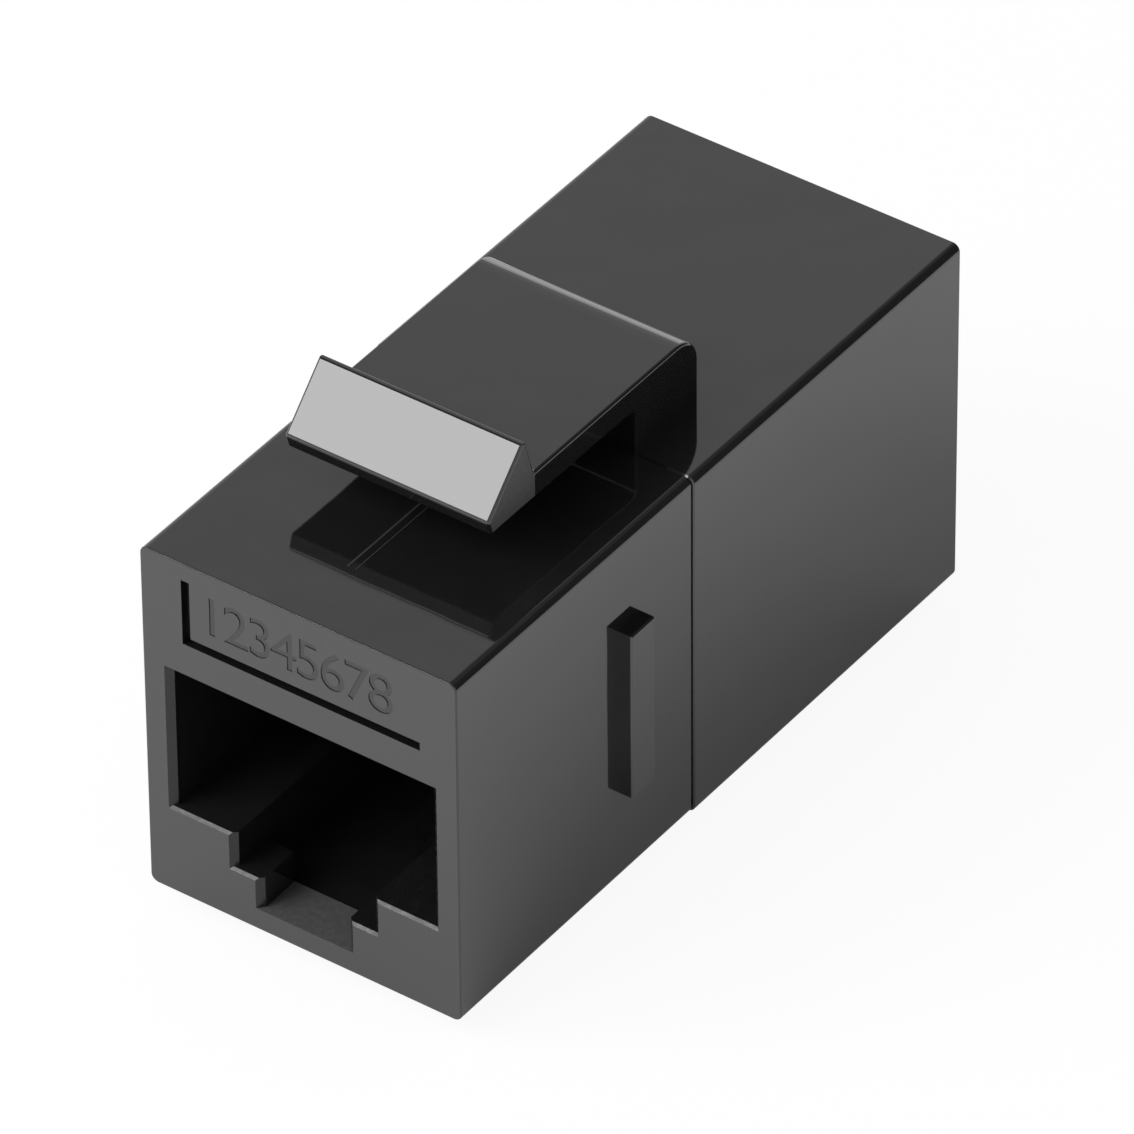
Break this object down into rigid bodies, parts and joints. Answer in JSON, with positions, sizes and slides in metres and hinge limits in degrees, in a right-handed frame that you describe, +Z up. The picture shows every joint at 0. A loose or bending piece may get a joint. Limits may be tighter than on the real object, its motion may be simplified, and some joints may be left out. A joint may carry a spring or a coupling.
{
  "type": "keystone coupler",
  "caption": "Black inline keystone coupler with a modular jack port at each end, a sprung latch arm on top, side stops and a fixed catch below.",
  "frame": {"origin": "middle of the bounding box, at the lowest point of the fixed catch below the body", "axes": "+Z up towards the latch arm, -Y out of the front port, +Y out of the rear port, +X across"},
  "size_m": [0.0156, 0.0326, 0.0222],
  "materials": {
    "housing_plastic": "moulded black polycarbonate with a soft shine",
    "carrier_plastic": "dull black moulded plastic",
    "board_laminate": "green glass laminate with solder pads",
    "contact_gold": "gold plated spring contact"
  },
  "bodies": {
    "housing": {"front_housing": "housing_plastic", "rear_housing": "housing_plastic", "circuit_board": "board_laminate", "front_contact_carrier": "carrier_plastic", "rear_contact_carrier": "carrier_plastic", "front_contact_1": "contact_gold", "front_contact_2": "contact_gold", "front_contact_3": "contact_gold", "front_contact_4": "contact_gold", "front_contact_5": "contact_gold", "front_contact_6": "contact_gold", "front_contact_7": "contact_gold", "front_contact_8": "contact_gold", "rear_contact_1": "contact_gold", "rear_contact_2": "contact_gold", "rear_contact_3": "contact_gold", "rear_contact_4": "contact_gold", "rear_contact_5": "contact_gold", "rear_contact_6": "contact_gold", "rear_contact_7": "contact_gold", "rear_contact_8": "contact_gold"},
    "latch": {"latch_arm": "housing_plastic"}
  },
  "joints": [
    {"name": "latch_flex", "type": "hinge", "parent": "housing", "child": "latch", "pos_m": [0, -0.0015, 0.01985], "axis": [1, 0, 0], "range_deg": [0, 10], "stiffness_Nm_per_rad": 0.35}
  ]
}
